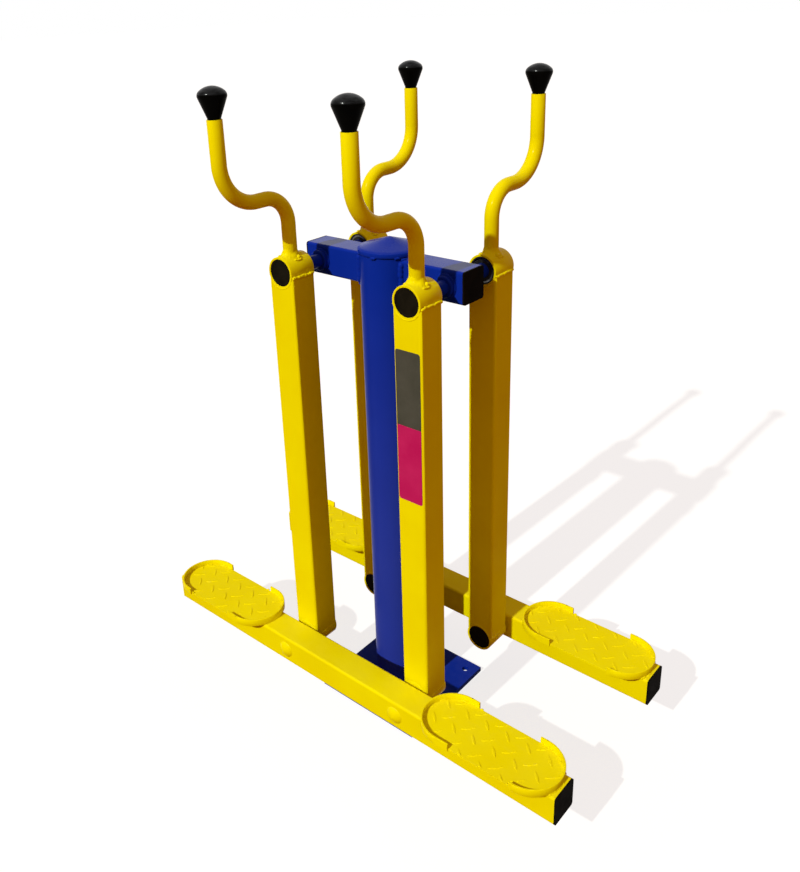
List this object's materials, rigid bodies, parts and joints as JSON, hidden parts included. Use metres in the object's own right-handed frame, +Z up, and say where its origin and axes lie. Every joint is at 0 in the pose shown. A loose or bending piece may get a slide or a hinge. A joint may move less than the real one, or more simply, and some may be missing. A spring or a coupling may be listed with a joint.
{
  "type": "outdoor ski exercise machine",
  "caption": "Outdoor striding machine: a column with a beam from which parallelogram linkages carry rimmed foot pedals and S-bent handlebars.",
  "frame": {"origin": "bottom centre of the square base plate, on the ground", "axes": "+Z up, X along the foot bars, Y along the pivot shafts with the near side at -Y"},
  "size_m": [1.006, 0.568, 1.306],
  "materials": {
    "frame_paint": "glossy blue powder coat",
    "arm_paint": "glossy yellow powder coat",
    "tread_paint": "yellow powder coat over tread plate",
    "tube_cap_plastic": "moulded black plastic",
    "hub_plug_plastic": "moulded black plastic",
    "knob_plastic": "polished black plastic",
    "bearing_steel": "ground bearing steel",
    "seal_rubber": "black sealing rubber",
    "zinc_steel": "zinc-plated steel"
  },
  "bodies": {
    "frame": {"base_plate": "frame_paint", "column": "frame_paint", "column_cap": "frame_paint", "beam_left": "frame_paint", "beam_right": "frame_paint", "beam_end_caps": "tube_cap_plastic", "left_pivot_shaft": "frame_paint", "right_pivot_shaft": "frame_paint", "shaft_collars": "frame_paint", "shaft_nuts": "zinc_steel"},
    "near_left_arm": {"near_left_arm_tube": "arm_paint", "near_left_upper_hub": "arm_paint", "near_left_lower_hub": "arm_paint", "near_left_handlebar": "arm_paint", "near_left_knob": "knob_plastic", "near_left_hub_plugs": "hub_plug_plastic", "near_left_bearings": "bearing_steel", "near_left_bearing_seals": "seal_rubber"},
    "near_right_arm": {"near_right_arm_tube": "arm_paint", "near_right_upper_hub": "arm_paint", "near_right_lower_hub": "arm_paint", "near_right_handlebar": "arm_paint", "near_right_knob": "knob_plastic", "near_right_hub_plugs": "hub_plug_plastic", "near_right_bearings": "bearing_steel", "near_right_bearing_seals": "seal_rubber"},
    "far_left_arm": {"far_left_arm_tube": "arm_paint", "far_left_upper_hub": "arm_paint", "far_left_lower_hub": "arm_paint", "far_left_handlebar": "arm_paint", "far_left_knob": "knob_plastic", "far_left_hub_plugs": "hub_plug_plastic", "far_left_bearings": "bearing_steel", "far_left_bearing_seals": "seal_rubber"},
    "far_right_arm": {"far_right_arm_tube": "arm_paint", "far_right_upper_hub": "arm_paint", "far_right_lower_hub": "arm_paint", "far_right_handlebar": "arm_paint", "far_right_knob": "knob_plastic", "far_right_hub_plugs": "hub_plug_plastic", "far_right_bearings": "bearing_steel", "far_right_bearing_seals": "seal_rubber"},
    "near_footbar": {"near_foot_bar": "arm_paint", "near_bar_end_caps": "tube_cap_plastic", "near_left_tread": "tread_paint", "near_right_tread": "tread_paint", "near_left_rims": "tread_paint", "near_right_rims": "tread_paint", "near_pivot_pins": "arm_paint", "near_pin_nuts": "zinc_steel"},
    "far_footbar": {"far_foot_bar": "arm_paint", "far_bar_end_caps": "tube_cap_plastic", "far_left_tread": "tread_paint", "far_right_tread": "tread_paint", "far_left_rims": "tread_paint", "far_right_rims": "tread_paint", "far_pivot_pins": "arm_paint", "far_pin_nuts": "zinc_steel"}
  },
  "joints": [
    {"name": "near_swing", "type": "hinge", "parent": "frame", "child": "near_right_arm", "pos_m": [0.15, -0.11, 0.958], "axis": [0, 1, 0], "range_deg": [-32, 32]},
    {"name": "near_left_arm_swing", "type": "hinge", "parent": "frame", "child": "near_left_arm", "pos_m": [-0.15, -0.11, 0.958], "axis": [0, 1, 0], "range_deg": [-32, 32]},
    {"name": "near_footbar_pivot", "type": "hinge", "parent": "near_right_arm", "child": "near_footbar", "pos_m": [0.15, -0.11, 0.136], "axis": [0, 1, 0], "range_deg": [-32, 32]},
    {"name": "far_swing", "type": "hinge", "parent": "frame", "child": "far_right_arm", "pos_m": [0.15, 0.11, 0.958], "axis": [0, 1, 0], "range_deg": [-32, 32]},
    {"name": "far_left_arm_swing", "type": "hinge", "parent": "frame", "child": "far_left_arm", "pos_m": [-0.15, 0.11, 0.958], "axis": [0, 1, 0], "range_deg": [-32, 32]},
    {"name": "far_footbar_pivot", "type": "hinge", "parent": "far_right_arm", "child": "far_footbar", "pos_m": [0.15, 0.11, 0.136], "axis": [0, 1, 0], "range_deg": [-32, 32]}
  ],
  "couplings": [
    {"joint": "near_left_arm_swing", "follows": "near_swing", "ratio": 1},
    {"joint": "near_footbar_pivot", "follows": "near_swing", "ratio": -1},
    {"joint": "far_left_arm_swing", "follows": "far_swing", "ratio": 1},
    {"joint": "far_footbar_pivot", "follows": "far_swing", "ratio": -1}
  ]
}
